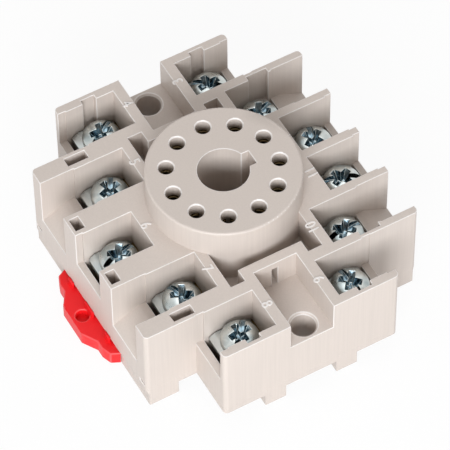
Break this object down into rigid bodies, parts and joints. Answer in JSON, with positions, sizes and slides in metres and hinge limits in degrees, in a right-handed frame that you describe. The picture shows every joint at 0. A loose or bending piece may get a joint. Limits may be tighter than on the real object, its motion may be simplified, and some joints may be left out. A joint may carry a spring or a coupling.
{
  "type": "plug-in relay socket",
  "caption": "Plug-in relay socket with a raised pin disc, screw clamp terminals in stepped open cells on both sides, and a sliding clip for a mounting rail.",
  "frame": {"origin": "on the key axis at the top face of the pin disc", "axes": "+Z out of the pin disc, towards the relay; +X towards the keyway and terminals 1 and 11; the rail runs along Y"},
  "size_m": [0.0551, 0.0586, 0.0254],
  "materials": {
    "housing_plastic": "moulded satin",
    "base_plastic": "moulded satin",
    "clip_plastic": "moulded satin",
    "strip_brass": "rolled sheet",
    "clamp_zinc": "bright zinc plate",
    "screw_zinc": "bright zinc plate"
  },
  "bodies": {
    "socket": {"housing": "housing_plastic", "base_plate": "base_plastic", "contact_strip_1": "strip_brass", "contact_strip_2": "strip_brass", "contact_strip_3": "strip_brass", "contact_strip_4": "strip_brass", "contact_strip_5": "strip_brass", "contact_strip_6": "strip_brass", "contact_strip_7": "strip_brass", "contact_strip_8": "strip_brass", "contact_strip_9": "strip_brass", "contact_strip_10": "strip_brass", "contact_strip_11": "strip_brass"},
    "clip": {"rail_clip": "clip_plastic"},
    "clamp_1": {"clamp_plate_1": "clamp_zinc"},
    "screw_1": {"terminal_screw_1": "screw_zinc"},
    "clamp_2": {"clamp_plate_2": "clamp_zinc"},
    "screw_2": {"terminal_screw_2": "screw_zinc"},
    "clamp_3": {"clamp_plate_3": "clamp_zinc"},
    "screw_3": {"terminal_screw_3": "screw_zinc"},
    "clamp_4": {"clamp_plate_4": "clamp_zinc"},
    "screw_4": {"terminal_screw_4": "screw_zinc"},
    "clamp_5": {"clamp_plate_5": "clamp_zinc"},
    "screw_5": {"terminal_screw_5": "screw_zinc"},
    "clamp_6": {"clamp_plate_6": "clamp_zinc"},
    "screw_6": {"terminal_screw_6": "screw_zinc"},
    "clamp_7": {"clamp_plate_7": "clamp_zinc"},
    "screw_7": {"terminal_screw_7": "screw_zinc"},
    "clamp_8": {"clamp_plate_8": "clamp_zinc"},
    "screw_8": {"terminal_screw_8": "screw_zinc"},
    "clamp_9": {"clamp_plate_9": "clamp_zinc"},
    "screw_9": {"terminal_screw_9": "screw_zinc"},
    "clamp_10": {"clamp_plate_10": "clamp_zinc"},
    "screw_10": {"terminal_screw_10": "screw_zinc"},
    "clamp_11": {"clamp_plate_11": "clamp_zinc"},
    "screw_11": {"terminal_screw_11": "screw_zinc"}
  },
  "joints": [
    {"name": "clip_slide", "type": "slide", "parent": "socket", "child": "clip", "axis": [-1, 0, 0], "range_m": [0, 0.0025], "stiffness_N_per_m": 2000},
    {"name": "clamp_lift_1", "type": "slide", "parent": "socket", "child": "clamp_1", "axis": [0, 0, 1], "range_m": [0, 0.0024]},
    {"name": "screw_turn_1", "type": "hinge", "parent": "clamp_1", "child": "screw_1", "pos_m": [0.02, 0.00475, -0.0124], "axis": [0, 0, 1], "range_deg": [0, 1441]},
    {"name": "clamp_lift_2", "type": "slide", "parent": "socket", "child": "clamp_2", "axis": [0, 0, 1], "range_m": [0, 0.0024]},
    {"name": "screw_turn_2", "type": "hinge", "parent": "clamp_2", "child": "screw_2", "pos_m": [0.01495, 0.01425, -0.0124], "axis": [0, 0, 1], "range_deg": [0, 1441]},
    {"name": "clamp_lift_3", "type": "slide", "parent": "socket", "child": "clamp_3", "axis": [0, 0, 1], "range_m": [0, 0.0024]},
    {"name": "screw_turn_3", "type": "hinge", "parent": "clamp_3", "child": "screw_3", "pos_m": [0.01045, 0.02375, -0.0124], "axis": [0, 0, 1], "range_deg": [0, 1441]},
    {"name": "clamp_lift_4", "type": "slide", "parent": "socket", "child": "clamp_4", "axis": [0, 0, 1], "range_m": [0, 0.0024]},
    {"name": "screw_turn_4", "type": "hinge", "parent": "clamp_4", "child": "screw_4", "pos_m": [-0.01045, 0.02375, -0.0124], "axis": [0, 0, 1], "range_deg": [0, 1441]},
    {"name": "clamp_lift_5", "type": "slide", "parent": "socket", "child": "clamp_5", "axis": [0, 0, 1], "range_m": [0, 0.0024]},
    {"name": "screw_turn_5", "type": "hinge", "parent": "clamp_5", "child": "screw_5", "pos_m": [-0.01495, 0.0124, -0.0124], "axis": [0, 0, 1], "range_deg": [0, 1441]},
    {"name": "clamp_lift_6", "type": "slide", "parent": "socket", "child": "clamp_6", "axis": [0, 0, 1], "range_m": [0, 0.0024]},
    {"name": "screw_turn_6", "type": "hinge", "parent": "clamp_6", "child": "screw_6", "pos_m": [-0.02, 0, -0.0124], "axis": [0, 0, 1], "range_deg": [0, 1441]},
    {"name": "clamp_lift_7", "type": "slide", "parent": "socket", "child": "clamp_7", "axis": [0, 0, 1], "range_m": [0, 0.0024]},
    {"name": "screw_turn_7", "type": "hinge", "parent": "clamp_7", "child": "screw_7", "pos_m": [-0.01495, -0.0124, -0.0124], "axis": [0, 0, 1], "range_deg": [0, 1441]},
    {"name": "clamp_lift_8", "type": "slide", "parent": "socket", "child": "clamp_8", "axis": [0, 0, 1], "range_m": [0, 0.0024]},
    {"name": "screw_turn_8", "type": "hinge", "parent": "clamp_8", "child": "screw_8", "pos_m": [-0.01045, -0.02375, -0.0124], "axis": [0, 0, 1], "range_deg": [0, 1441]},
    {"name": "clamp_lift_9", "type": "slide", "parent": "socket", "child": "clamp_9", "axis": [0, 0, 1], "range_m": [0, 0.0024]},
    {"name": "screw_turn_9", "type": "hinge", "parent": "clamp_9", "child": "screw_9", "pos_m": [0.01045, -0.02375, -0.0124], "axis": [0, 0, 1], "range_deg": [0, 1441]},
    {"name": "clamp_lift_10", "type": "slide", "parent": "socket", "child": "clamp_10", "axis": [0, 0, 1], "range_m": [0, 0.0024]},
    {"name": "screw_turn_10", "type": "hinge", "parent": "clamp_10", "child": "screw_10", "pos_m": [0.01495, -0.01425, -0.0124], "axis": [0, 0, 1], "range_deg": [0, 1441]},
    {"name": "clamp_lift_11", "type": "slide", "parent": "socket", "child": "clamp_11", "axis": [0, 0, 1], "range_m": [0, 0.0024]},
    {"name": "screw_turn_11", "type": "hinge", "parent": "clamp_11", "child": "screw_11", "pos_m": [0.02, -0.00475, -0.0124], "axis": [0, 0, 1], "range_deg": [0, 1441]}
  ],
  "couplings": [
    {"joint": "screw_turn_1", "follows": "clamp_lift_1", "rad_per_m": 10472},
    {"joint": "screw_turn_2", "follows": "clamp_lift_2", "rad_per_m": 10472},
    {"joint": "screw_turn_3", "follows": "clamp_lift_3", "rad_per_m": 10472},
    {"joint": "screw_turn_4", "follows": "clamp_lift_4", "rad_per_m": 10472},
    {"joint": "screw_turn_5", "follows": "clamp_lift_5", "rad_per_m": 10472},
    {"joint": "screw_turn_6", "follows": "clamp_lift_6", "rad_per_m": 10472},
    {"joint": "screw_turn_7", "follows": "clamp_lift_7", "rad_per_m": 10472},
    {"joint": "screw_turn_8", "follows": "clamp_lift_8", "rad_per_m": 10472},
    {"joint": "screw_turn_9", "follows": "clamp_lift_9", "rad_per_m": 10472},
    {"joint": "screw_turn_10", "follows": "clamp_lift_10", "rad_per_m": 10472},
    {"joint": "screw_turn_11", "follows": "clamp_lift_11", "rad_per_m": 10472}
  ]
}
